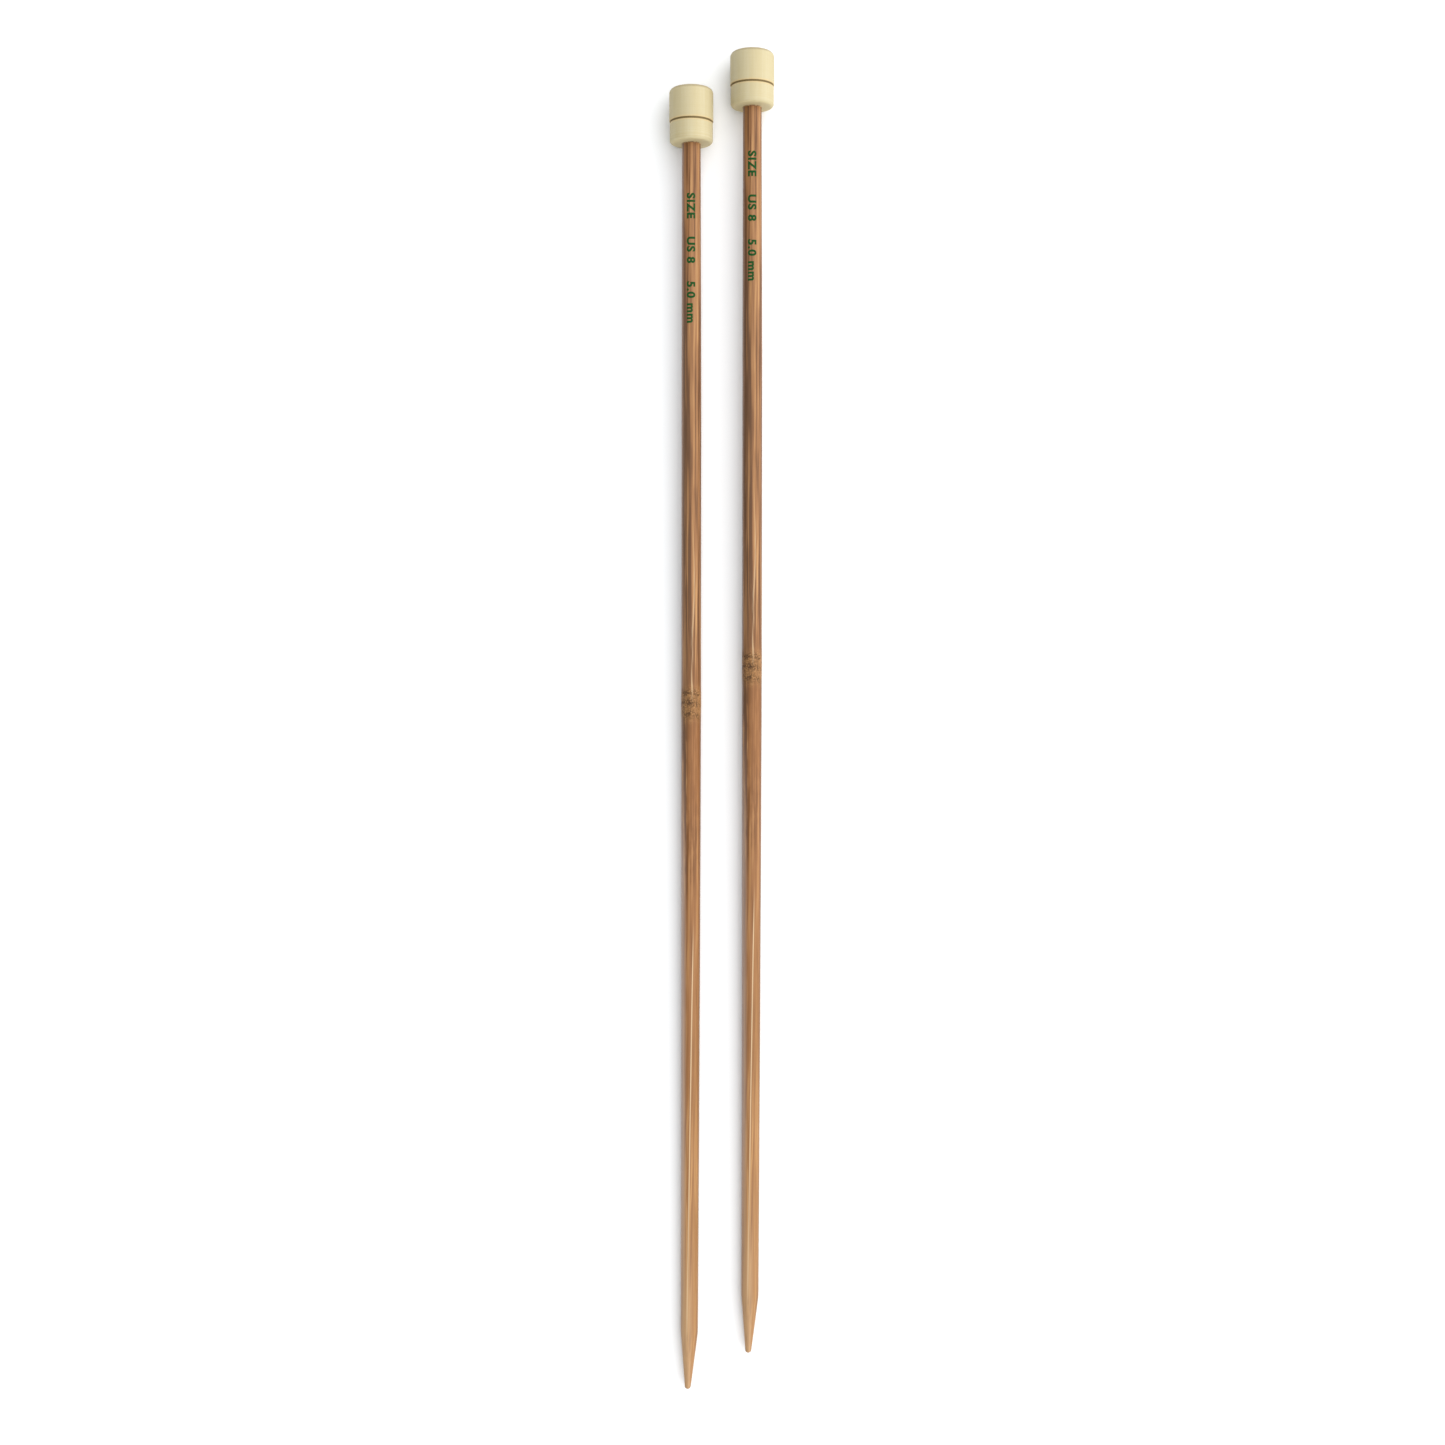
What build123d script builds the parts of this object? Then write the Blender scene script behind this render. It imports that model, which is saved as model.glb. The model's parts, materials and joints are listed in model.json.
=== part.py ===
from build123d import *
import math
import os

# A pair of straight single-pointed bamboo knitting needles, lying side by side on a table.
# Frame: +X to the right, +Y towards the knobs, +Z up. Origin: bottom centre of the pair's box.
# Each needle is first made upright, with its point at the origin and its axis along +Z, and then laid down.
# Along a needle, every station is a distance from the tip of its point. Millimetres and degrees.

# the pair
NEEDLE_LENGTH = 330.0
NEEDLE_SPACING = 15.4
RIGHT_NEEDLE_ADVANCE = 9.25

# shaft
GAUGE_RADIUS = 2.50
GAUGE_START = 165.0
GAUGE_END = 255.0
NECK_RADIUS = 2.36
POINT_LENGTH = 14.5
POINT_HALF_ANGLE = 5.8
POINT_END_RADIUS = 0.78
SHOULDER_BLEND_RADIUS = 25.0

# knob
KNOB_HEIGHT = 13.8
KNOB_UPPER_RADIUS = 5.57
KNOB_LOWER_RADIUS = 5.45
KNOB_TOP_ROUND = 1.25
KNOB_BOTTOM_ROUND = 0.85
GROOVE_BELOW_TOP = 8.5
GROOVE_WIDTH = 0.45
GROOVE_DEPTH = 0.4

# glued joint between shaft and knob
TENON_RADIUS = 2.30
TENON_LENGTH = 9.0
GLUE_THICKNESS = 0.10

KNOB_UNDERSIDE = NEEDLE_LENGTH - KNOB_HEIGHT
GROOVE_STATION = NEEDLE_LENGTH - GROOVE_BELOW_TOP
GROOVE_END = GROOVE_STATION + GROOVE_WIDTH / 2
TENON_END = KNOB_UNDERSIDE + TENON_LENGTH
BORE_RADIUS = TENON_RADIUS + GLUE_THICKNESS
BORE_END = TENON_END + GLUE_THICKNESS


def cosine(angle):
    return math.cos(math.radians(angle))


def sine(angle):
    return math.sin(math.radians(angle))


def tangent(angle):
    return math.tan(math.radians(angle))


def turned(outline):
    """A solid of revolution about the needle's axis, from the closed edges of its half section."""
    return revolve(make_face(outline), axis=Axis.Z)


def at(radius, station):
    """A point of the half section."""
    return (radius, 0, station)


# The point is a cone that ends in a small ball. Where the cone would meet the shaft's taper is the shoulder.
CONE_START_RADIUS = POINT_END_RADIUS * cosine(POINT_HALF_ANGLE)
CONE_START = POINT_END_RADIUS * (1 - sine(POINT_HALF_ANGLE))
SHOULDER_RADIUS = CONE_START_RADIUS + (POINT_LENGTH - CONE_START) * tangent(POINT_HALF_ANGLE)
TAPER_ANGLE = math.degrees(math.atan2(GAUGE_RADIUS - SHOULDER_RADIUS, GAUGE_START - POINT_LENGTH))

# The shoulder is blended by an arc that touches the cone and the taper. Its centre lies across the axis.
MEAN_ANGLE = (POINT_HALF_ANGLE + TAPER_ANGLE) / 2
BLEND_CENTRE_DISTANCE = SHOULDER_BLEND_RADIUS / cosine(POINT_HALF_ANGLE - MEAN_ANGLE)
BLEND_CENTRE_RADIUS = SHOULDER_RADIUS - BLEND_CENTRE_DISTANCE * cosine(MEAN_ANGLE)
BLEND_CENTRE_STATION = POINT_LENGTH + BLEND_CENTRE_DISTANCE * sine(MEAN_ANGLE)


def on_ball(angle):
    """The point of the ball at the tip whose tangent makes this angle with the needle's axis."""
    return at(POINT_END_RADIUS * cosine(angle), POINT_END_RADIUS * (1 - sine(angle)))


def on_shoulder(angle):
    """The point of the shoulder's blend whose tangent makes this angle with the needle's axis."""
    radius = BLEND_CENTRE_RADIUS + SHOULDER_BLEND_RADIUS * cosine(angle)
    return at(radius, BLEND_CENTRE_STATION - SHOULDER_BLEND_RADIUS * sine(angle))


def shaft():
    """The bamboo rod: pointed end, long taper, gauge cylinder, slimmer neck and the tenon for the knob."""
    ball = ThreePointArc(on_ball(90), on_ball((90 + POINT_HALF_ANGLE) / 2), on_ball(POINT_HALF_ANGLE))
    cone = Line(on_ball(POINT_HALF_ANGLE), on_shoulder(POINT_HALF_ANGLE))
    shoulder = ThreePointArc(
        on_shoulder(POINT_HALF_ANGLE), on_shoulder(MEAN_ANGLE), on_shoulder(TAPER_ANGLE)
    )
    rest = Polyline(
        on_shoulder(TAPER_ANGLE),
        at(GAUGE_RADIUS, GAUGE_START),
        at(GAUGE_RADIUS, GAUGE_END),
        at(NECK_RADIUS, KNOB_UNDERSIDE),
        at(TENON_RADIUS, KNOB_UNDERSIDE),
        at(TENON_RADIUS, TENON_END),
        at(0, TENON_END),
        on_ball(90),
    )
    return turned([ball, cone, shoulder, rest])


def knob():
    """The turned wooden knob: two drums of slightly different size, with a round-bottomed groove between."""
    outer = Polyline(
        at(0, KNOB_UNDERSIDE),
        at(KNOB_LOWER_RADIUS, KNOB_UNDERSIDE),
        at(KNOB_LOWER_RADIUS, GROOVE_STATION),
        at(KNOB_UPPER_RADIUS, GROOVE_STATION),
        at(KNOB_UPPER_RADIUS, NEEDLE_LENGTH),
        at(0, NEEDLE_LENGTH),
        close=True,
    )
    body = turned(outer)
    rims = body.edges().filter_by(GeomType.CIRCLE).sort_by(Axis.Z)
    body = fillet(rims[-1], KNOB_TOP_ROUND)
    body = fillet(body.edges().filter_by(GeomType.CIRCLE).sort_by(Axis.Z)[0], KNOB_BOTTOM_ROUND)
    return body - groove() - bore()


def groove():
    """The ring that is cut out of the knob: straight sides and a half-round floor."""
    mouth_radius = KNOB_UPPER_RADIUS + GROOVE_DEPTH
    floor_radius = KNOB_UPPER_RADIUS - GROOVE_DEPTH
    side_end = floor_radius + GROOVE_WIDTH / 2
    low = GROOVE_STATION - GROOVE_WIDTH / 2
    floor = ThreePointArc(at(side_end, low), at(floor_radius, GROOVE_STATION), at(side_end, GROOVE_END))
    sides = Polyline(
        at(side_end, GROOVE_END),
        at(mouth_radius, GROOVE_END),
        at(mouth_radius, low),
        at(side_end, low),
    )
    return turned([floor, sides])


def bore():
    """The blind hole in the knob's underside that takes the tenon."""
    depth = BORE_END - KNOB_UNDERSIDE
    return Pos(0, 0, KNOB_UNDERSIDE) * extrude(Circle(BORE_RADIUS), depth)


def glue():
    """The film of cured glue, a thin cup that fills the gap between the tenon and the bore."""
    tenon = Pos(0, 0, KNOB_UNDERSIDE) * extrude(Circle(TENON_RADIUS), TENON_LENGTH)
    return bore() - tenon


def lying_tilt():
    """The slope of a needle that rests on the knob's largest drum and on the shoulder of its point.

    The table's line touches the blend of the shoulder and the corner of the drum beside the groove.
    """
    across = KNOB_UPPER_RADIUS - BLEND_CENTRE_RADIUS
    along = GROOVE_END - BLEND_CENTRE_STATION
    touching = math.degrees(math.acos(SHOULDER_BLEND_RADIUS / math.hypot(across, along)))
    return touching - math.degrees(math.atan2(along, across))


TILT = lying_tilt()
TIP_HEIGHT = KNOB_UPPER_RADIUS * cosine(TILT) - GROOVE_END * sine(TILT)


def lying(x, y):
    """The place of a needle that lies with its tip at x and y and its knob towards +Y."""
    return Location((x, y, TIP_HEIGHT), (TILT - 90, 0, 0))


def lay_out():
    """Both needles on the table, as a dictionary from node name to solid, centred on the pair's box."""
    places = {
        "left": lying(-NEEDLE_SPACING / 2, 0),
        "right": lying(NEEDLE_SPACING / 2, RIGHT_NEEDLE_ADVANCE),
    }
    makers = {"shaft": shaft, "knob": knob, "glue": glue}
    nodes = {}
    for side, place in places.items():
        for name, make in makers.items():
            nodes[f"{side}_{name}"] = place * make()
    box = Compound(list(nodes.values())).bounding_box()
    to_origin = Pos(-box.center().X, -box.center().Y, -box.min.Z)
    return {name: to_origin * solid for name, solid in nodes.items()}


os.makedirs("parts", exist_ok=True)
for node, solid in lay_out().items():
    export_step(solid, f"parts/{node}.step")
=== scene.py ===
"""Straight bamboo knitting needles with turned wooden knobs, modelled and finished around their CAD frame."""
import json
import math

import bmesh
import bpy
from bpy.props import FloatProperty, FloatVectorProperty, PointerProperty, StringProperty
from mathutils import Matrix, Vector, noise


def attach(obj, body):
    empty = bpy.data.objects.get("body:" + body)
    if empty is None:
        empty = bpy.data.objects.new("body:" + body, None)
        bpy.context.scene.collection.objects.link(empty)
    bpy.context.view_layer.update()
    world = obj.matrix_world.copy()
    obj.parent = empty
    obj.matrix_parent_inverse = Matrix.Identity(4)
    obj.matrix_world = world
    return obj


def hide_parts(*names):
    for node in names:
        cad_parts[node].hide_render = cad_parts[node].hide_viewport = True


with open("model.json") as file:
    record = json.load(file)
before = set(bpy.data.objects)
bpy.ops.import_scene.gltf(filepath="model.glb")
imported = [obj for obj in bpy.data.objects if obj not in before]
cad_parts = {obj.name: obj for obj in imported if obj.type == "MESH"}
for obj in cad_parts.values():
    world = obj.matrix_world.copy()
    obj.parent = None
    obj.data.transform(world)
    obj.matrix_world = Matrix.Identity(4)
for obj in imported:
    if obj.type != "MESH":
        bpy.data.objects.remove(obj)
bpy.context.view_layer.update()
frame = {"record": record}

bl_info = {
    "name": "Straight Knitting Needles",
    "version": (1, 0, 0),
    "blender": (4, 5, 0),
    "location": "3D View > Sidebar > Needles",
    "description": "Turned bamboo knitting needles with wooden knobs, glued joints and printed size marks",
    "category": "Object",
}

MM = 0.001
SIDES = ("left", "right")
MOUNTS = {mount["name"]: mount for mount in frame["record"]["mounts"]}
GAUGE = MOUNTS["left_gauge_shaft"]
KNOB_END = MOUNTS["left_knob_end"]
NEEDLE_LENGTH = 330 * MM
GAUGE_RADIUS = GAUGE["dims"]["r_mm"] * MM
GAUGE_LENGTH = GAUGE["dims"]["length_mm"] * MM
GAUGE_MIDDLE = NEEDLE_LENGTH - (Vector(KNOB_END["pos_m"]) - Vector(GAUGE["pos_m"])).length
# how far the scars of the node reach along the rod, on either side of its middle
NODE_REACH = 6 * MM
# height of a capital letter as a share of the typeface's size
CAP_PER_SIZE = 0.729
# points closer than this count as one
TOUCHING = 0.0005 * MM


def length(name, description, millimetres):
    """A size that the user may change, in metres."""
    return FloatProperty(
        name=name, description=description, default=millimetres * MM, precision=6, unit="LENGTH"
    )


def colour(name, description, red, green, blue):
    """A colour that the user may change, in linear light."""
    return FloatVectorProperty(
        name=name, description=description, default=(red, green, blue), min=0, max=1, subtype="COLOR"
    )


class ShaftSizes(bpy.types.PropertyGroup):
    """The bamboo rod."""

    neck_radius: length("Neck radius", "Radius where the shaft enters the knob", 2.36)
    point_length: length("Point length", "Length of the cone that ends in the tip", 14.5)
    point_end_radius: length("Tip radius", "Radius of the ball at the tip", 0.78)
    point_half_angle: FloatProperty(
        name="Point half angle",
        description="Angle between the cone and the needle's axis",
        default=math.radians(5.8),
        subtype="ANGLE",
    )
    shoulder_blend: length("Shoulder blend", "Radius of the arc between cone and shaft", 25.0)
    tenon_radius: length("Tenon radius", "Radius of the stub inside the knob", 2.30)
    tenon_length: length("Tenon length", "Length of the stub inside the knob", 9.0)
    bow: length("Bow", "How far the middle of the rod stands off a straight line", 0.24)
    point_lean: length("Point lean", "How far the hand-sanded tip is off the axis", 0.36)
    node_station: length("Node station", "Distance from the tip to the bamboo's node", 175.5)
    node_swelling: length("Node swelling", "How far the node stands proud of the shaft", 0.05)
    node_pit_depth: length("Node pit depth", "Depth of the scars at the node", 0.07)


class KnobSizes(bpy.types.PropertyGroup):
    """The turned knob."""

    height: length("Height", "Knob, underside to flat end", 13.8)
    upper_radius: length("Upper radius", "Radius of the drum above the groove", 5.57)
    lower_radius: length("Lower radius", "Radius of the drum below the groove", 5.45)
    top_round: length("Top rounding", "Radius of the rim round the flat end", 1.25)
    bottom_round: length("Bottom rounding", "Radius of the rim round the underside", 0.85)
    groove_below_top: length("Groove place", "Distance from the flat end to the groove", 8.5)
    groove_width: length("Groove width", "Width of the burnt groove", 0.45)
    groove_depth: length("Groove depth", "Depth of the burnt groove", 0.4)
    groove_lip: length("Groove lip", "Rounding of the groove's edges", 0.1)
    glue_thickness: length("Glue thickness", "Film of glue between tenon and bore", 0.1)
    glue_bead: length("Glue bead", "Bead of glue squeezed out round the shaft", 0.16)


class MarkSizes(bpy.types.PropertyGroup):
    """The printed size mark."""

    text: StringProperty(name="Text", description="What the mark says", default="SIZE    US 8    5.0 mm")
    left_start: length("Left start", "Distance from the left knob to the first letter", 12.9)
    right_start: length("Right start", "Distance from the right knob to the first letter", 11.5)
    run: length("Run", "Length of the printed line", 32.7)
    cap_height: length("Cap height", "Height of a capital letter", 2.08)
    boldness: length("Boldness", "How much each stroke is thickened on either side", 0.115)
    letter_spacing: FloatProperty(
        name="Letter spacing", description="Room given to each letter", default=1.14
    )
    ink_thickness: length("Ink thickness", "How far the ink stands proud of the bamboo", 0.012)


class Finishes(bpy.types.PropertyGroup):
    """Colours of the materials."""

    bamboo_pale: colour("Bamboo, palest", "Sanded point", 0.49, 0.335, 0.195)
    bamboo_fibre: colour("Bamboo, fibre", "Single pale fibres that run along the rod", 0.640, 0.460, 0.270)
    # painted fill light and reflection: a pale greyish colour laid on the shaded left flank
    bamboo_painted_fill: colour("Bamboo, bloom", "Chalky bloom on the left flank", 0.42, 0.315, 0.265)
    bamboo_russet: colour("Bamboo, russet", "Redder stretch below the node", 0.240, 0.092, 0.022)
    # painted shade: a cool dark grey laid on the left flank from the node towards the knob
    bamboo_painted_shade_above_node: colour("Bamboo, smoked", "Cooler skin side above the node", 0.100, 0.100, 0.080)
    bamboo_light: colour("Bamboo, light", "Pale fibre of the shaft", 0.44, 0.228, 0.086)
    bamboo_middle: colour("Bamboo, middle", "Main colour of the shaft", 0.285, 0.128, 0.044)
    bamboo_golden: colour("Bamboo, golden", "Round the node", 0.300, 0.150, 0.040)
    bamboo_dark: colour("Bamboo, dark", "Dark streaks of the shaft", 0.125, 0.048, 0.013)
    bamboo_scar: colour("Bamboo, scars", "Scars at the node", 0.056, 0.024, 0.007)
    knob_light: colour("Knob, light", "Pale wood of the knob", 0.520, 0.455, 0.285)
    knob_dark: colour("Knob, dark", "Grain of the knob's wood", 0.47, 0.385, 0.200)
    # painted light: a paler colour laid on the knob's underside, which the main light doesn't reach
    knob_underside_painted_light: colour("Knob, end grain", "Sanded underside of the knob", 0.58, 0.49, 0.27)
    # painted shade: a darker colour laid on the rounded rim of the flat end
    knob_rim_shade: colour("Knob, rim", "Handled edge of the flat end", 0.30, 0.23, 0.12)
    toasted: colour("Toasted wood", "Wood on either side of the groove", 0.62, 0.42, 0.17)
    scorched: colour("Scorched wood", "Burnt floor of the groove", 0.155, 0.105, 0.032)
    glue: colour("Glue", "Cured glue", 0.50, 0.36, 0.17)
    ink: colour("Ink", "Printed size mark", 0.004, 0.056, 0.008)
    floor: colour("Floor", "Table under the needles", 0.90, 0.90, 0.90)


class StageSizes(bpy.types.PropertyGroup):
    """Floor, light and camera."""

    floor_side: length("Floor side", "Side of the square floor", 6000)
    camera_height: length("Camera height", "Height of the camera above the floor", 514)
    camera_lens: FloatProperty(name="Lens", description="Focal length in millimetres", default=50.06)
    camera_right: length("Camera right", "The camera's place to the right of the middle", 0.5)
    camera_up: length("Camera forward", "The camera's place towards the knobs", 0.15)
    camera_roll: FloatProperty(
        name="Roll",
        description="Turn of the camera about its line of sight",
        default=0.0019,
        subtype="ANGLE",
    )
    sun_elevation: FloatProperty(
        name="Light elevation",
        description="Height of the main light",
        default=math.radians(50),
        subtype="ANGLE",
    )
    sun_turn: FloatProperty(
        name="Light turn",
        description="Direction of the main light, from +X towards +Y",
        default=math.radians(5),
        subtype="ANGLE",
    )
    sun_softness: FloatProperty(
        name="Light softness",
        description="Angular width of the main light",
        default=math.radians(110),
        subtype="ANGLE",
    )
    sun_strength: FloatProperty(name="Light strength", description="Main light", default=3.7)
    sky_colour: colour("Fill colour", "Colour of the even light", 0.93, 0.97, 1.0)
    sky_strength: FloatProperty(name="Fill strength", description="Even light from all round", default=0.55)


# ---------------------------------------------------------------- places and outlines


def needle_place(side):
    """From needle space to the frame. A needle's tip is at its origin, +Z runs to the knob and -Y is up."""
    end = MOUNTS[f"{side}_knob_end"]
    along = Vector(end["axis"]).normalized()
    level = Vector((1, 0, 0))
    down = along.cross(level)
    turn = Matrix((level, down, along)).transposed().to_4x4()
    return Matrix.Translation(Vector(end["pos_m"]) - along * NEEDLE_LENGTH) @ turn


def rounded(corners, steps=8):
    """Points of an outline from its corners, each a radius, a station and the rounding of that corner."""
    points = []
    for index, (radius, station, rounding) in enumerate(corners):
        corner = Vector((radius, station))
        if not rounding:
            points.append(corner)
            continue
        back = (Vector(corners[index - 1][:2]) - corner).normalized()
        ahead = (Vector(corners[index + 1][:2]) - corner).normalized()
        half = back.angle(ahead) / 2
        centre = corner + (back + ahead).normalized() * rounding / math.sin(half)
        arm = corner + back * rounding / math.tan(half) - centre
        sweep = math.pi - 2 * half
        turn = sweep if back.cross(ahead) < 0 else -sweep
        for step in range(steps + 1):
            points.append(centre + Matrix.Rotation(turn * step / steps, 2) @ arm)
    return points


def shaft_outline(shaft, knob):
    """Half section of the rod, from the tip to the end of its tenon."""
    half = shaft.point_half_angle
    ball = shaft.point_end_radius
    blunt_radius = ball / math.tan(math.pi / 4 + half / 2)
    shoulder_radius = blunt_radius + shaft.point_length * math.tan(half)
    underside = NEEDLE_LENGTH - knob.height
    tenon_end = underside + shaft.tenon_length
    return rounded(
        [
            (0, 0, 0),
            (blunt_radius, 0, ball),
            (shoulder_radius, shaft.point_length, shaft.shoulder_blend),
            (GAUGE_RADIUS, GAUGE_MIDDLE - GAUGE_LENGTH / 2, 0),
            (GAUGE_RADIUS, shaft.node_station - NODE_REACH, 0),
            (GAUGE_RADIUS, shaft.node_station + NODE_REACH, 0),
            (GAUGE_RADIUS, GAUGE_MIDDLE + GAUGE_LENGTH / 2, 0),
            (shaft.neck_radius, underside, 0),
            (shaft.tenon_radius, underside, 0),
            (shaft.tenon_radius, tenon_end, 0),
            (0, tenon_end, 0),
        ]
    )


def knob_outline(shaft, knob):
    """Half section of the knob, from the floor of its bore out round the groove to its flat end."""
    underside = NEEDLE_LENGTH - knob.height
    bore_radius = shaft.tenon_radius + knob.glue_thickness
    bore_end = underside + shaft.tenon_length + knob.glue_thickness
    groove = NEEDLE_LENGTH - knob.groove_below_top
    low = groove - knob.groove_width / 2
    high = groove + knob.groove_width / 2
    floor_radius = knob.upper_radius - knob.groove_depth
    floor_round = knob.groove_width * 0.45
    return rounded(
        [
            (0, bore_end, 0),
            (bore_radius, bore_end, 0),
            (bore_radius, underside, 0),
            (knob.lower_radius, underside, knob.bottom_round),
            (knob.lower_radius, low, knob.groove_lip),
            (floor_radius, low, floor_round),
            (floor_radius, high, floor_round),
            (knob.upper_radius, high, knob.groove_lip),
            (knob.upper_radius, NEEDLE_LENGTH, knob.top_round),
            (0, NEEDLE_LENGTH, 0),
        ]
    )


def glue_outline(shaft, knob):
    """Half section of the glue: a cup between tenon and bore, with a hollow bead at its mouth."""
    underside = NEEDLE_LENGTH - knob.height
    tenon_end = underside + shaft.tenon_length
    bore_radius = shaft.tenon_radius + knob.glue_thickness
    bead = knob.glue_bead
    return rounded(
        [
            (0, tenon_end, 0),
            (shaft.tenon_radius, tenon_end, 0),
            (shaft.tenon_radius, underside, 0),
            (shaft.neck_radius, underside, 0),
            (shaft.neck_radius, underside - bead, 0),
            (shaft.neck_radius + bead * 0.3, underside - bead * 0.3, bead * 0.5),
            (shaft.neck_radius + bead, underside, 0),
            (bore_radius, underside, 0),
            (bore_radius, tenon_end + knob.glue_thickness, 0),
            (0, tenon_end + knob.glue_thickness, 0),
        ]
    )


def turned(outline, around, spacing):
    """A closed solid turned on the needle's axis. spacing gives the longest edge allowed at a station."""
    mesh = bmesh.new()
    verts = [mesh.verts.new((outline[0].x, 0, outline[0].y))]
    for start, end in zip(outline, outline[1:]):
        parts = 1 + int((end - start).length / spacing((start.y + end.y) / 2))
        for part in range(1, parts + 1):
            point = start.lerp(end, part / parts)
            verts.append(mesh.verts.new((point.x, 0, point.y)))
    edges = [mesh.edges.new(pair) for pair in zip(verts, verts[1:])]
    bmesh.ops.spin(
        mesh,
        geom=verts + edges,
        cent=(0, 0, 0),
        axis=(0, 0, 1),
        angle=math.tau,
        steps=around,
        use_merge=True,
    )
    bmesh.ops.remove_doubles(mesh, verts=mesh.verts, dist=TOUCHING)
    bmesh.ops.recalc_face_normals(mesh, faces=mesh.faces)
    return mesh


# ---------------------------------------------------------------- relief of the wood


def smooth_step(value, low, high):
    """0 below low, 1 above high and a smooth rise between them."""
    share = min(max((value - low) / (high - low), 0), 1)
    return share * share * (3 - 2 * share)


# rows of scars at the node: distance from its middle, half width and strength, in millimetres
SCAR_ROWS = ((1.6, 0.80, 1.0), (-0.9, 1.45, 0.95), (-3.7, 1.00, 0.85))
# the long scar on the right flank: its place and half width, round the rod in radians
# and then along it in millimetres
LONG_SCAR = (0.58, 0.09, -0.6, 1.6)


def bell(value, middle, half_width):
    """1 at the middle, falling off smoothly on either side of it."""
    return math.exp(-(((value - middle) / half_width) ** 2))


def node_scar(shaft, angle, station):
    """How deep the bamboo is scarred at a place on the surface, from 0 to 1."""
    from_node = (station - shaft.node_station) / MM
    if abs(from_node) > NODE_REACH / MM:
        return 0
    ring = Vector((math.sin(angle), -math.cos(angle), 0)) * GAUGE_RADIUS / MM
    wander = 1.3 * noise.noise(ring * 0.7 + Vector((0, 5.5, 0)))
    patch = noise.noise(ring / 1.2 + Vector((7.7, 0, from_node / 1.4)))
    fleck = noise.noise(ring / 0.31 + Vector((3.1, 0, from_node / 0.30)))
    spot = patch * 0.6 + fleck * 1.2 + 0.50 * math.cos(angle + 0.45) - 0.34
    depth = 0.8 * bell(angle, LONG_SCAR[0], LONG_SCAR[1]) * bell(from_node, LONG_SCAR[2], LONG_SCAR[3])
    for middle, half_width, strength in SCAR_ROWS:
        row = strength * bell(from_node, middle + wander, half_width)
        depth = max(depth, row * smooth_step(spot, -0.12, 0.12))
    return depth


def relief(shaft, side, angle, station):
    """How far the hand-finished surface of the rod stands proud of a perfectly turned one."""
    seed = 7.9 * SIDES.index(side)
    place = Vector((math.sin(angle), -math.cos(angle), 0)) * GAUGE_RADIUS / MM
    along = station / MM
    from_node = (station - shaft.node_station) / MM
    swelling = shaft.node_swelling * math.exp(-((from_node / 3.5) ** 2))
    scars = shaft.node_pit_depth * node_scar(shaft, angle, station)
    waves = 0.018 * MM * noise.noise(place * 0.3 + Vector((seed, 0, along / 14)))
    fibres = 0.007 * MM * noise.noise(place / 0.5 + Vector((0, seed, along / 12)))
    return swelling - scars + waves + fibres


def bent(shaft, place):
    """A place on the straight needle, moved sideways by the rod's bow and the lean of its tip."""
    along = place.z / NEEDLE_LENGTH
    bow = 4 * shaft.bow * along * (1 - along)
    lean = shaft.point_lean * max(0, 1 - place.z / shaft.point_length) ** 1.2
    return place + Vector((bow - lean, 0, 0))


def weather_shaft(mesh, shaft, side, underside):
    """Gives the turned rod its node, scars, fibres, bow and lean, and records the scars for its finish."""
    scar_layer = mesh.verts.layers.float.new("node_scar")
    for vert in mesh.verts:
        radius = math.hypot(vert.co.x, vert.co.y)
        if radius > TOUCHING and vert.co.z < underside:
            angle = math.atan2(vert.co.x, -vert.co.y)
            outward = Vector((vert.co.x, vert.co.y, 0)) / radius
            share = min(1, radius / shaft.point_end_radius)
            vert[scar_layer] = node_scar(shaft, angle, vert.co.z)
            vert.co += outward * relief(shaft, side, angle, vert.co.z) * share
        vert.co = bent(shaft, vert.co)


# ---------------------------------------------------------------- shader maths


class Value:
    """What leaves a shader socket. Sums and products of values add the Math nodes that work them out."""

    def __init__(self, finish, socket):
        self.finish = finish
        self.socket = socket

    def math(self, operation, *inputs):
        return self.finish.node("ShaderNodeMath", {"operation": operation}, dict(enumerate(inputs)))

    def __add__(self, other):
        return self.math("ADD", self, other)

    def __sub__(self, other):
        return self.math("SUBTRACT", self, other)

    def __mul__(self, other):
        return self.math("MULTIPLY", self, other)

    def __truediv__(self, other):
        return self.math("DIVIDE", self, other)

    def __rsub__(self, other):
        return self.math("SUBTRACT", other, self)

    def __rtruediv__(self, other):
        return self.math("DIVIDE", other, self)

    __radd__ = __add__
    __rmul__ = __mul__

    def __abs__(self):
        return self.math("ABSOLUTE", self)

    def at_most(self, limit):
        return self.math("MINIMUM", self, limit)

    def at_least(self, limit):
        return self.math("MAXIMUM", self, limit)

    def rise(self, low, high):
        """0 below low, 1 above high and a smooth rise between them."""
        settings = {"interpolation_type": "SMOOTHSTEP"}
        inputs = {"Value": self, "From Min": low, "From Max": high}
        return self.finish.node("ShaderNodeMapRange", settings, inputs)

    def band(self, start, full, fading, end):
        """1 from full to fading, and 0 before start and after end."""
        return self.rise(start, full) * (1 - self.rise(fading, end))


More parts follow.
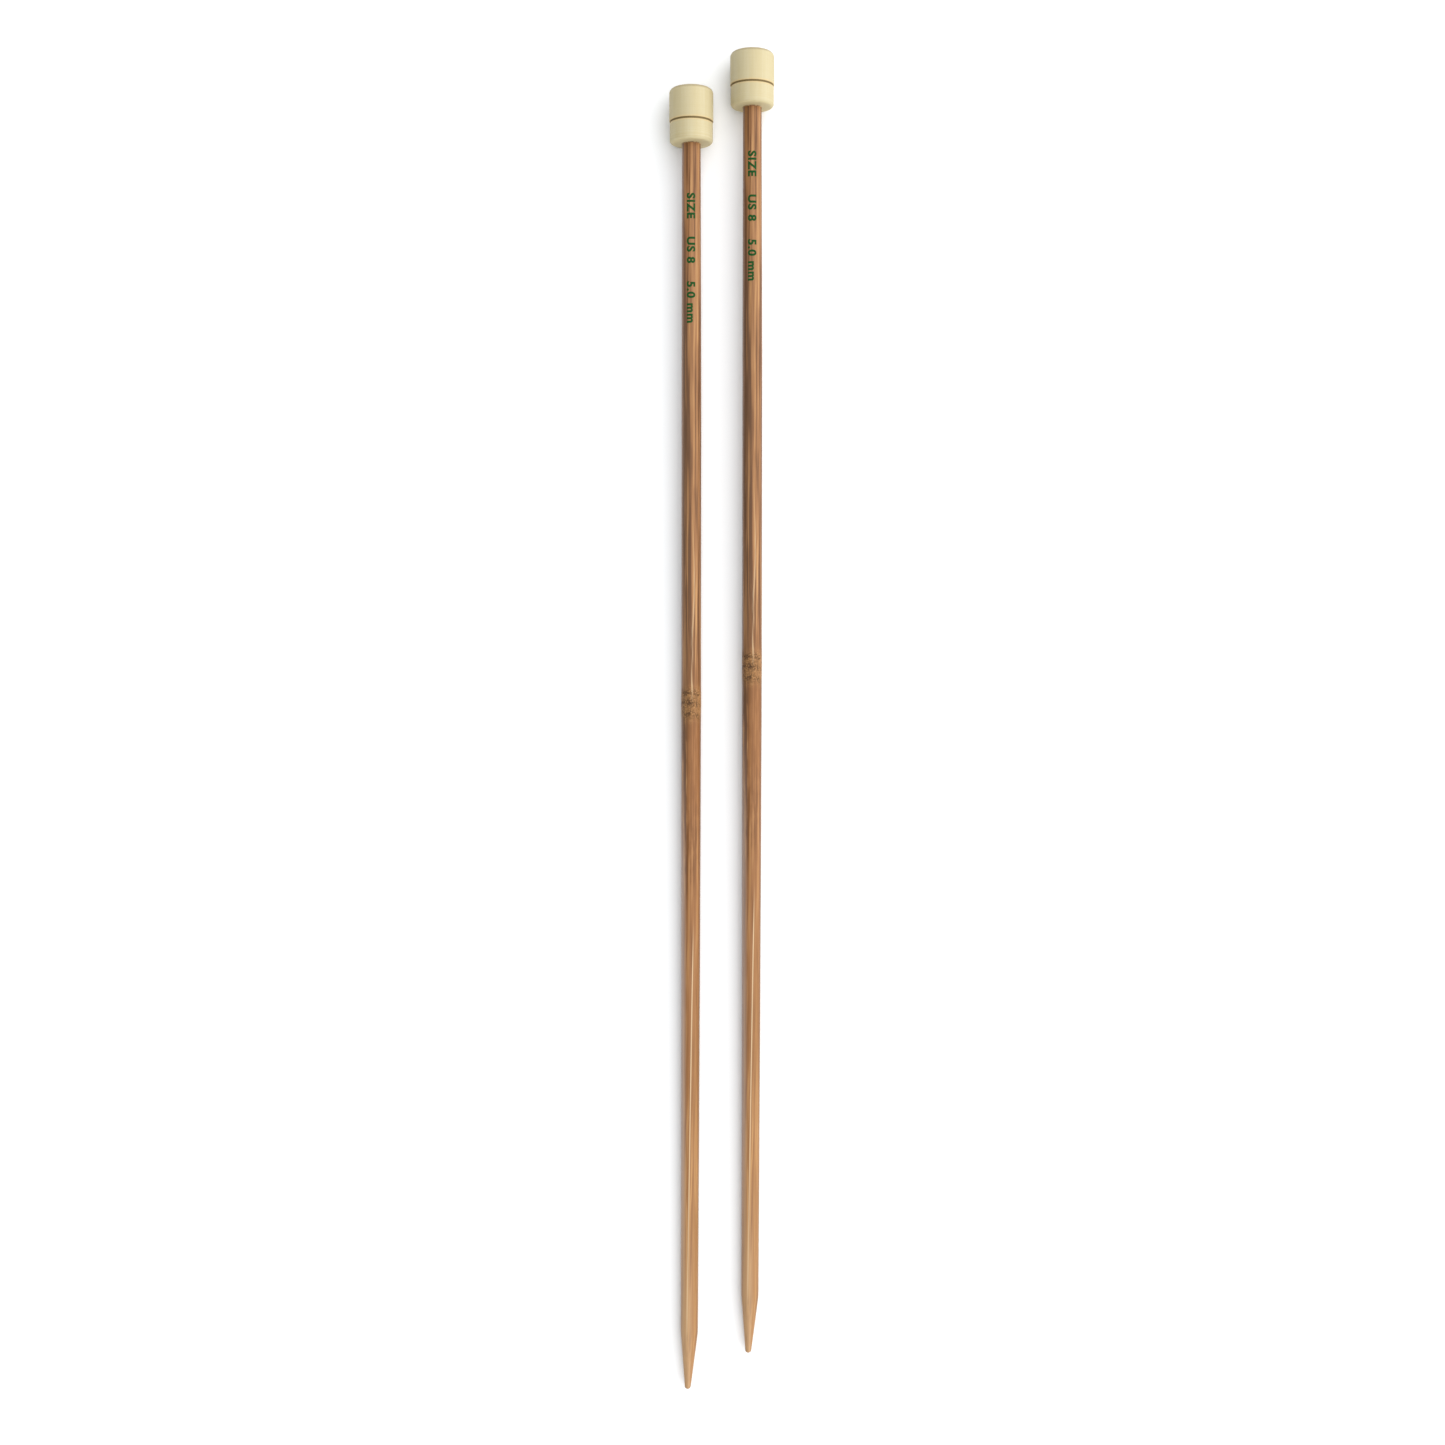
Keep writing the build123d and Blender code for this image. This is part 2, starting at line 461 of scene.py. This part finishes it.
class Finish:
    """One procedural material, with the nodes that it is made of."""

    def __init__(self, name):
        self.material = bpy.data.materials.new(name)
        self.material.use_nodes = True
        self.tree = self.material.node_tree
        self.tree.nodes.clear()

    def node(self, kind, settings, inputs, output=0):
        """Adds a node, sets it up, then fills its sockets with values or links. Gives back one output."""
        made = self.tree.nodes.new(kind)
        for name, setting in settings.items():
            setattr(made, name, setting)
        for name, value in inputs.items():
            if isinstance(value, Value):
                self.tree.links.new(value.socket, made.inputs[name])
            else:
                made.inputs[name].default_value = value
        return Value(self, made.outputs[output]) if made.outputs else None

    def needle_space(self, place):
        """Where a point of the surface is in needle space, in millimetres."""
        inverse = place.inverted()
        here = self.node("ShaderNodeTexCoord", {}, {}, "Object")
        return self.node(
            "ShaderNodeMapping",
            {"vector_type": "POINT"},
            {
                "Vector": here,
                "Location": inverse.to_translation() / MM,
                "Rotation": inverse.to_euler(),
                "Scale": (1 / MM, 1 / MM, 1 / MM),
            },
        )

    def axes(self, vector):
        """The three numbers of a vector."""
        return [self.node("ShaderNodeSeparateXYZ", {}, {0: vector}, axis) for axis in range(3)]

    def vector(self, x, y, z):
        """A vector from three numbers."""
        return self.node("ShaderNodeCombineXYZ", {}, {0: x, 1: y, 2: z})

    def length_of(self, vector):
        """The length of a vector."""
        return self.node("ShaderNodeVectorMath", {"operation": "LENGTH"}, {0: vector}, "Value")

    def grain(self, point, across, along, shift, detail=2.0):
        """Noise drawn out along the needle. Its features measure across by along, in millimetres."""
        drawn = self.node(
            "ShaderNodeVectorMath",
            {"operation": "MULTIPLY_ADD"},
            {0: point, 1: (1 / across, 1 / across, 1 / along), 2: (shift, shift, shift)},
        )
        return self.node("ShaderNodeTexNoise", {}, {"Vector": drawn, "Scale": 1.0, "Detail": detail})

    def mix(self, share, first, second):
        """The first colour where share is 0 and the second where it is 1."""
        first, second = (tuple(c) + (1,) if not isinstance(c, Value) else c for c in (first, second))
        return self.node("ShaderNodeMix", {"data_type": "RGBA"}, {0: share, 6: first, 7: second}, 2)

    def bump(self, height, depth):
        """The normal of a surface whose height, from 0 to 1, stands for a depth in metres."""
        return self.node("ShaderNodeBump", {}, {"Height": height, "Distance": depth, "Strength": 1.0})

    def surface(self, **sockets):
        """Ends the material with a Principled shader. Underscores in the names stand for spaces."""
        inputs = {name.replace("_", " "): value for name, value in sockets.items()}
        shader = self.node("ShaderNodeBsdfPrincipled", {}, inputs)
        self.node("ShaderNodeOutputMaterial", {}, {"Surface": shader})
        return self.material


# ---------------------------------------------------------------- finishes

# fibres of the lower rod run a little across its axis: millimetres to the left for each towards the tip
FIBRE_SLANT = 0.0152
FIBRE_SLANT_END = 118
# the tones at which the wood has its dark, its middle and its light colour
DARK_TONE = -0.30
MIDDLE_TONE = 0.50
LIGHT_TONE = 1.25
# how the tone changes along the rod: start and end of each change, in millimetres from the tip, and its size
TONE_AT_TIP = 1.00
TONE_CHANGES = ((35, 95, -0.50), (136, 158, -0.38), (162, 177, 0.12), (204, 226, 0.08), (266, 312, 0.16))


class Bamboo(Finish):
    """Oiled bamboo: streaked along the rod and scarred and mottled at the node, with painted shade on its
    left flank towards the knob, on its lit right flank near the point and along its right edge, and painted
    fill light and reflection on its left flank.
    """

    def __init__(self, finishes, side, place):
        super().__init__(f"bamboo_{side}")
        self.finishes = finishes
        shaft = finishes.id_data.needle_shaft
        self.node_station = shaft.node_station / MM
        point = self.needle_space(place)
        self.x, self.y, self.z = self.axes(point)
        slant = (self.z.at_most(FIBRE_SLANT_END) - FIBRE_SLANT_END / 2) * FIBRE_SLANT
        self.across = self.x - slant
        fibre = self.vector(self.across, self.y, self.z)
        self.broad = self.grain(fibre, 1.3, 70, 3.7) - 0.5
        self.streaks = self.grain(fibre, 0.50, 28, 4.7, 3) - 0.5
        self.hairs = self.grain(fibre, 0.18, 10, 5.7, 4) - 0.5
        self.clouds = self.grain(fibre, 2.2, 12, 6.7) - 0.5
        self.mottle = self.grain(fibre, 1.0, 5, 12.7, 3) - 0.5
        self.flecks = self.grain(point, 0.34, 0.30, 7.7)
        self.scar = self.node("ShaderNodeAttribute", {"attribute_name": "node_scar"}, {}, "Fac")

        radius = self.length_of(self.vector(self.x, self.y, 0))
        self.flank = self.x / radius.at_least(shaft.point_end_radius / MM)
        # mask of the left flank, which the rod's colour darkens towards the knob as painted shade
        self.shaded_left_flank = 1 - (self.flank + self.broad * 0.8 + self.streaks * 0.5).rise(-0.38, 0.10)
        # mask of the lit right flank, which the rod's colour darkens near the point as painted shade
        self.lit_right_flank = self.flank.rise(0.0, 0.6)
        from_node = abs(self.z - self.node_station + 1) / 5
        self.at_node = 1 - (from_node + self.broad + self.streaks * 0.8).rise(0.35, 1.15)

    def tone(self):
        """How light the wood is, on the scale of DARK_TONE, MIDDLE_TONE and LIGHT_TONE, with painted shade on
        the left flank towards the knob and on the lit right flank near the point.
        """
        z = self.z
        node = self.node_station
        above_node = z.band(node + 1, node + 4, node + 20, node + 50)
        below_node = z.band(120, 138, 172, 180)
        tone = TONE_AT_TIP + self.broad * 0.9 + self.clouds * 0.5 + self.mottle * below_node * 2.8
        streaked = (self.streaks * 3.9 + self.hairs * 1.4) * z.rise(-10, 30)
        tone = tone + streaked * (1 + above_node * 0.5 + below_node)
        for start, end, change in TONE_CHANGES:
            tone = tone + z.rise(start, end) * change
        # painted shade: the left flank is darker towards the knob, and the lit right flank darker near the
        # point
        tone = tone - self.shaded_left_flank * z.rise(135, 180) * 0.42
        return tone - self.lit_right_flank * (1 - z.rise(60, 110)) * 0.36

    def stained(self):
        """The colour of the wood, with painted shade and painted fill light and reflection on its flanks,
        before its single fibres and its scars.
        """
        z = self.z
        flank = self.flank
        finishes = self.finishes
        tone = self.tone()
        to_middle = tone.rise(DARK_TONE, MIDDLE_TONE)
        colour = self.mix(to_middle, finishes.bamboo_dark, finishes.bamboo_middle)
        colour = self.mix(tone.rise(MIDDLE_TONE, LIGHT_TONE), colour, finishes.bamboo_light)
        russet = z.band(50, 85, 172, 195) * 0.44 + z.band(140, 155, 165, 185) * 0.30
        colour = self.mix(russet * flank.rise(-0.50, -0.10), colour, finishes.bamboo_russet)
        # painted shade: cool grey on the left flank from the node towards the knob
        painted_shade_above_node = self.shaded_left_flank * z.band(135, 180, 262, 300)
        colour = self.mix(painted_shade_above_node * 0.16, colour, finishes.bamboo_painted_shade_above_node)
        # painted fill light and reflection: the left flank of the lower rod and the left edge of the whole
        # rod are made paler and greyer
        painted_fill_lower_left = (1 - flank.rise(-0.90, -0.25)) * z.band(2, 66, 125, 170)
        painted_left_edge_reflection = (1 - flank.rise(-0.98, -0.72)) * z.rise(8, 30)
        colour = self.mix((painted_fill_lower_left * 0.82).at_least(painted_left_edge_reflection * 0.45), colour, finishes.bamboo_painted_fill)
        # painted shade: the right edge of the rod is darkened
        right_edge_shade = flank.rise(0.78, 0.98) * z.rise(3, 12)
        colour = self.mix(right_edge_shade * 0.55, colour, finishes.bamboo_dark)
        # the sanded point is paler, but less so on the lit right flank, where this is painted shade
        sanded = (1 - z.rise(10, 50)) * (1 - self.lit_right_flank * 0.8)
        colour = self.mix(sanded * 0.40, colour, finishes.bamboo_pale)
        # painted shade: the lit right flank of the lower rod is tinted a darker golden
        colour = self.mix(self.lit_right_flank * (1 - z.rise(70, 130)) * 0.30, colour, finishes.bamboo_golden)
        return self.mix(self.at_node * 0.40, colour, finishes.bamboo_golden)

    def pale_fibres(self):
        """How strongly the two long pale fibres show, one on each side of the node, on top only."""
        low = 1 - (abs(self.across - 0.06 - self.broad * 0.5) / 0.15).rise(0.5, 1.3)
        high = 1 - (abs(self.x - 0.75 - self.clouds * 1.6) / 0.20).rise(0.4, 1.7)
        low = low * self.z.band(10, 20, 105, 122)
        high = high * self.z.band(173, 181, 196, 222)
        return (low + high * (0.45 + self.hairs * 3)) * (1 - self.y.rise(-0.5, 0.5))

    def finished(self):
        """The whole material."""
        colour = self.mix(self.pale_fibres() * 0.72, self.stained(), self.finishes.bamboo_fibre)
        glints = self.at_node * (1 - self.scar) * (1 - self.flecks.rise(0.38, 0.50))
        colour = self.mix(glints * 0.60, colour, self.finishes.bamboo_light)
        pitted = self.scar * (0.55 + self.flecks.rise(0.42, 0.56) * 0.45)
        height = self.streaks * 0.6 + self.hairs * 0.8 - pitted * 0.5 + 0.7
        return self.surface(
            Base_Color=self.mix(pitted, colour, self.finishes.bamboo_scar),
            Roughness=0.50 + self.hairs * 0.25 + self.scar * 0.3,
            Normal=self.bump(height, 0.03 * MM),
            Specular_IOR_Level=0.30,
            Coat_Weight=0.10,
            Coat_Roughness=0.25,
        )


def knob_wood(finishes, knob, side, place):
    """Bare turned wood: fine straight grain, faint tool rings and a groove burnt in with a wire, with painted
    light on the underside and painted shade on the rim of the flat end.
    """
    finish = Finish(f"knob_wood_{side}")
    seed = 21.3 + 6.7 * SIDES.index(side)
    point = finish.needle_space(place)
    x, y, z = finish.axes(point)
    radius = finish.length_of(finish.vector(x, y, 0))
    broad = finish.grain(point, 2.4, 40, seed) - 0.5
    grain = finish.grain(point, 0.45, 12, seed + 1) - 0.5
    pores = finish.grain(point, 0.11, 1.3, seed + 2, 3)
    rings = finish.grain(finish.vector(radius, 0, z), 0.16, 0.16, seed + 3) - 0.5

    underside = (NEEDLE_LENGTH - knob.height) / MM
    turning = 1 - z.rise(underside + 0.8, underside + 4.0)
    # painted light: the underside, turned away from the main light, is made paler
    underside_painted_light = 1 - z.rise(underside + 0.05, underside + 0.6)
    tone = broad * 0.9 + grain * 0.5 + rings * (0.4 + turning * 1.1) + 0.5
    colour = finish.mix(tone.rise(0.0, 1.0), finishes.knob_dark, finishes.knob_light)
    colour = finish.mix(pores.rise(0.62, 0.75) * 0.25, colour, finishes.knob_dark)
    colour = finish.mix(underside_painted_light * 0.8, colour, finishes.knob_underside_painted_light)

    groove = (NEEDLE_LENGTH - knob.groove_below_top) / MM
    from_groove = abs(z - groove) / (knob.groove_width / 2 / MM)
    outer = knob.lower_radius / MM
    halo = (1 - (from_groove + grain * 1.5).rise(1.2, 3.6)) * radius.rise(outer - 1.2, outer - 0.8)
    burnt = (1 - from_groove.rise(0.85, 1.2)) * (1 - radius.rise(outer - 0.16, outer + 0.06))
    flat_end = NEEDLE_LENGTH / MM
    # painted shade: the rounded rim of the flat end is darkened
    rim = z.rise(flat_end - 0.95, flat_end - 0.60) * radius.rise(outer - 1.6, outer - 0.9)
    colour = finish.mix(rim * 0.6, colour, finishes.knob_rim_shade)
    colour = finish.mix(halo * 0.45, colour, finishes.toasted)
    colour = finish.mix(burnt * 0.92, colour, finishes.scorched)

    height = rings * 0.7 + grain * 0.3 - pores.rise(0.60, 0.75) * 0.5 + 0.5
    return finish.surface(
        Base_Color=colour,
        Roughness=0.62 + grain * 0.2 + burnt * 0.1,
        Normal=finish.bump(height, 0.014 * MM),
    )


def cured_glue(finishes, side, place):
    """Dull yellowish glue that has run a little and trapped some dust."""
    finish = Finish(f"cured_glue_{side}")
    point = finish.needle_space(place)
    lumps = finish.grain(point, 0.5, 0.5, 4.0)
    colour = finish.mix(lumps.rise(0.3, 0.7), finishes.glue, finishes.bamboo_dark)
    return finish.surface(
        Base_Color=colour, Roughness=0.35 + lumps * 0.3, Normal=finish.bump(lumps, 0.03 * MM)
    )


def printing_ink(finishes, side, place):
    """Green ink that took a little unevenly on the fibres."""
    finish = Finish(f"size_mark_ink_{side}")
    point = finish.needle_space(place)
    cover = finish.grain(point, 0.12, 0.7, 9.0, 3)
    bare = finish.mix(0.3, finishes.ink, finishes.bamboo_middle)
    colour = finish.mix(cover.rise(0.60, 0.8), finishes.ink, bare)
    return finish.surface(Base_Color=colour, Roughness=0.55 + cover * 0.2, Specular_IOR_Level=0.15)


# ---------------------------------------------------------------- pieces


def make_piece(mesh, name, side, material, slot, *nodes):
    """Lays a finished mesh on its needle's place, and gives it to the needle's body in the frame."""
    mesh.transform(needle_place(side))
    data = bpy.data.meshes.new(name)
    mesh.to_mesh(data)
    mesh.free()
    data.shade_smooth()
    data.set_sharp_from_angle(angle=math.radians(40))
    data.materials.append(material)
    piece = bpy.data.objects.new(name, data)
    bpy.context.scene.collection.objects.link(piece)
    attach(piece, f"{side}_needle")
    if nodes:
        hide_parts(*nodes)
    return piece


def lettering(mark):
    """The mark as a flat mesh that starts at the origin, reads along +X and stands on the X axis."""
    curve = bpy.data.curves.new("mark_letters", "FONT")
    curve.body = mark.text
    curve.offset = mark.boldness / mark.cap_height * CAP_PER_SIZE
    curve.space_character = mark.letter_spacing
    curve.resolution_u = 6
    letters = bpy.data.objects.new("mark_letters", curve)
    bpy.context.scene.collection.objects.link(letters)
    bpy.context.view_layer.update()
    data = bpy.data.meshes.new_from_object(letters)
    mesh = bmesh.new()
    mesh.from_mesh(data)
    bpy.data.objects.remove(letters)
    bpy.data.curves.remove(curve)
    bpy.data.meshes.remove(data)
    bmesh.ops.remove_doubles(mesh, verts=mesh.verts, dist=1e-5)
    left = min(vert.co.x for vert in mesh.verts)
    right = max(vert.co.x for vert in mesh.verts)
    bmesh.ops.translate(mesh, verts=mesh.verts, vec=(-left, 0, 0))
    tall = mark.cap_height / CAP_PER_SIZE
    bmesh.ops.scale(mesh, verts=mesh.verts, vec=(mark.run / (right - left), tall, 1))
    return mesh


def sliced(mesh, axis, end, step):
    """Cuts a flat mesh across, every step along an axis, so that it can follow a round surface."""
    normal = Vector((axis == 0, axis == 1, 0))
    for cut in range(-3, int(end / step) + 3):
        geometry = mesh.verts[:] + mesh.edges[:] + mesh.faces[:]
        bmesh.ops.bisect_plane(mesh, geom=geometry, plane_co=normal * cut * step, plane_no=normal)


def print_mark(mark, shaft, knob, side):
    """The mark as a film of ink on the top of the rod, reading from the knob towards the point."""
    mesh = lettering(mark)
    sliced(mesh, 0, mark.run, 0.5 * MM)
    sliced(mesh, 1, mark.cap_height, 0.12 * MM)
    raised = bmesh.ops.extrude_face_region(mesh, geom=mesh.faces[:])["geom"]
    top = [item for item in raised if isinstance(item, bmesh.types.BMVert)]
    bmesh.ops.translate(mesh, verts=mesh.verts, vec=(0, 0, -mark.ink_thickness))
    bmesh.ops.translate(mesh, verts=top, vec=(0, 0, 2 * mark.ink_thickness))
    bmesh.ops.recalc_face_normals(mesh, faces=mesh.faces)
    outline = shaft_outline(shaft, knob)
    start = NEEDLE_LENGTH - knob.height - getattr(mark, f"{side}_start")
    for vert in mesh.verts:
        station = start - vert.co.x
        around = radius_at(outline, station)
        angle = (vert.co.y - mark.cap_height / 2) / around
        reach = around + vert.co.z + relief(shaft, side, angle, station)
        on_rod = Vector((reach * math.sin(angle), -reach * math.cos(angle), station))
        vert.co = bent(shaft, on_rod)
    return mesh


def radius_at(outline, station):
    """The radius of a half section at a station."""
    for low, high in zip(outline, outline[1:]):
        if low.y <= station <= high.y and high.y > low.y:
            share = (station - low.y) / (high.y - low.y)
            return low.x + (high.x - low.x) * share
    raise ValueError(f"the outline doesn't reach station {station}")


def weather_turned(mesh, shaft, side, depth):
    """Takes the perfect roundness off a turned piece and lets it follow the rod's bow."""
    seed = 4.4 * SIDES.index(side)
    for vert in mesh.verts:
        waver = noise.noise(vert.co / (4 * MM) + Vector((seed, seed, 0)))
        outward = Vector((vert.co.x, vert.co.y, 0)).normalized()
        vert.co = bent(shaft, vert.co + outward * waver * depth)


class NEEDLES_OT_shafts(bpy.types.Operator):
    """Turn both bamboo rods, with their nodes, fibres and hand-sanded points"""

    bl_idname = "needles.make_shafts"
    bl_label = "Make the bamboo shafts"

    def execute(self, context):
        scene = context.scene
        shaft = scene.needle_shaft
        knob = scene.needle_knob
        outline = shaft_outline(shaft, knob)
        underside = NEEDLE_LENGTH - knob.height

        def spacing(station):
            at_node = abs(station - shaft.node_station) < NODE_REACH
            return (0.12 if at_node else 0.7) * MM

        for side in SIDES:
            mesh = turned(outline, 112, spacing)
            weather_shaft(mesh, shaft, side, underside)
            material = Bamboo(scene.needle_finishes, side, needle_place(side)).finished()
            make_piece(mesh, f"{side}_bamboo_shaft", side, material, "bamboo_shaft", f"{side}_shaft")
        return {"FINISHED"}


class NEEDLES_OT_knobs(bpy.types.Operator):
    """Turn both wooden end knobs, with their burnt grooves and blind bores"""

    bl_idname = "needles.make_knobs"
    bl_label = "Make the end knobs"

    def execute(self, context):
        scene = context.scene
        outline = knob_outline(scene.needle_shaft, scene.needle_knob)
        for side in SIDES:
            mesh = turned(outline, 128, lambda station: 0.5 * MM)
            weather_turned(mesh, scene.needle_shaft, side, 0.012 * MM)
            place = needle_place(side)
            material = knob_wood(scene.needle_finishes, scene.needle_knob, side, place)
            make_piece(mesh, f"{side}_turned_knob", side, material, "turned_knob", f"{side}_knob")
        return {"FINISHED"}


class NEEDLES_OT_glue(bpy.types.Operator):
    """Fill both joints with glue, squeezed out in a small bead round the shaft"""

    bl_idname = "needles.make_glue"
    bl_label = "Make the glued joints"

    def execute(self, context):
        scene = context.scene
        outline = glue_outline(scene.needle_shaft, scene.needle_knob)
        for side in SIDES:
            mesh = turned(outline, 96, lambda station: 1.0 * MM)
            weather_turned(mesh, scene.needle_shaft, side, 0)
            material = cured_glue(scene.needle_finishes, side, needle_place(side))
            make_piece(mesh, f"{side}_glue_film", side, material, "cured_glue", f"{side}_glue")
        return {"FINISHED"}


class NEEDLES_OT_marks(bpy.types.Operator):
    """Print the size mark on both shafts"""

    bl_idname = "needles.print_marks"
    bl_label = "Print the size marks"

    def execute(self, context):
        scene = context.scene
        for side in SIDES:
            mesh = print_mark(scene.needle_mark, scene.needle_shaft, scene.needle_knob, side)
            material = printing_ink(scene.needle_finishes, side, needle_place(side))
            make_piece(mesh, f"{side}_size_mark", side, material, "size_mark_ink")
        return {"FINISHED"}


class NEEDLES_OT_stage(bpy.types.Operator):
    """Set up the floor, the soft light and the camera above the needles"""

    bl_idname = "needles.set_stage"
    bl_label = "Set the stage"

    def execute(self, context):
        scene = context.scene
        stage = scene.needle_stage
        mesh = bmesh.new()
        bmesh.ops.create_grid(mesh, x_segments=1, y_segments=1, size=stage.floor_side / 2)
        data = bpy.data.meshes.new("floor")
        mesh.to_mesh(data)
        mesh.free()
        table = Finish("floor")
        data.materials.append(
            table.surface(
                Base_Color=tuple(scene.needle_finishes.floor) + (1,), Roughness=1.0, Specular_IOR_Level=0.0
            )
        )
        floor = bpy.data.objects.new("floor", data)
        scene.collection.objects.link(floor)

        sun = bpy.data.lights.new("main_light", "SUN")
        sun.energy = stage.sun_strength
        sun.angle = stage.sun_softness
        lamp = bpy.data.objects.new("main_light", sun)
        lamp.rotation_euler = (0, math.pi / 2 - stage.sun_elevation, stage.sun_turn)
        scene.collection.objects.link(lamp)

        world = bpy.data.worlds.new("studio")
        world.use_nodes = True
        sky = world.node_tree.nodes["Background"]
        sky.inputs["Color"].default_value = tuple(stage.sky_colour) + (1,)
        sky.inputs["Strength"].default_value = stage.sky_strength
        scene.world = world

        lens = bpy.data.cameras.new("camera")
        lens.lens = stage.camera_lens
        lens.sensor_width = 36
        lens.clip_start = 0.01
        camera = bpy.data.objects.new("camera", lens)
        camera.location = (stage.camera_right, stage.camera_up, stage.camera_height)
        camera.rotation_euler = (0, 0, stage.camera_roll)
        scene.collection.objects.link(camera)
        scene.camera = camera
        scene.view_settings.view_transform = "Standard"
        return {"FINISHED"}


STEPS = (NEEDLES_OT_shafts, NEEDLES_OT_knobs, NEEDLES_OT_glue, NEEDLES_OT_marks, NEEDLES_OT_stage)


class NEEDLES_PT_panel(bpy.types.Panel):
    """Lists the steps that make the needles, and their sizes"""

    bl_idname = "NEEDLES_PT_panel"
    bl_label = "Straight Knitting Needles"
    bl_space_type = "VIEW_3D"
    bl_region_type = "UI"
    bl_category = "Needles"

    def draw(self, context):
        for step in STEPS:
            self.layout.operator(step.bl_idname)
        for name in GROUPS:
            group = getattr(context.scene, name)
            box = self.layout.box()
            for size in group.bl_rna.properties.keys():
                if size not in ("rna_type", "name"):
                    box.prop(group, size)


GROUPS = {
    "needle_shaft": ShaftSizes,
    "needle_knob": KnobSizes,
    "needle_mark": MarkSizes,
    "needle_finishes": Finishes,
    "needle_stage": StageSizes,
}


def register():
    for name, group in GROUPS.items():
        bpy.utils.register_class(group)
        setattr(bpy.types.Scene, name, PointerProperty(type=group))
    for made in STEPS + (NEEDLES_PT_panel,):
        bpy.utils.register_class(made)


def unregister():
    for made in reversed(STEPS + (NEEDLES_PT_panel,)):
        bpy.utils.unregister_class(made)
    for name, group in GROUPS.items():
        delattr(bpy.types.Scene, name)
        bpy.utils.unregister_class(group)


def main():
    """Makes every piece and the stage."""
    register()
    bpy.ops.needles.make_shafts()
    bpy.ops.needles.make_knobs()
    bpy.ops.needles.make_glue()
    bpy.ops.needles.print_marks()
    bpy.ops.needles.set_stage()


if __name__ == "__main__":
    main()
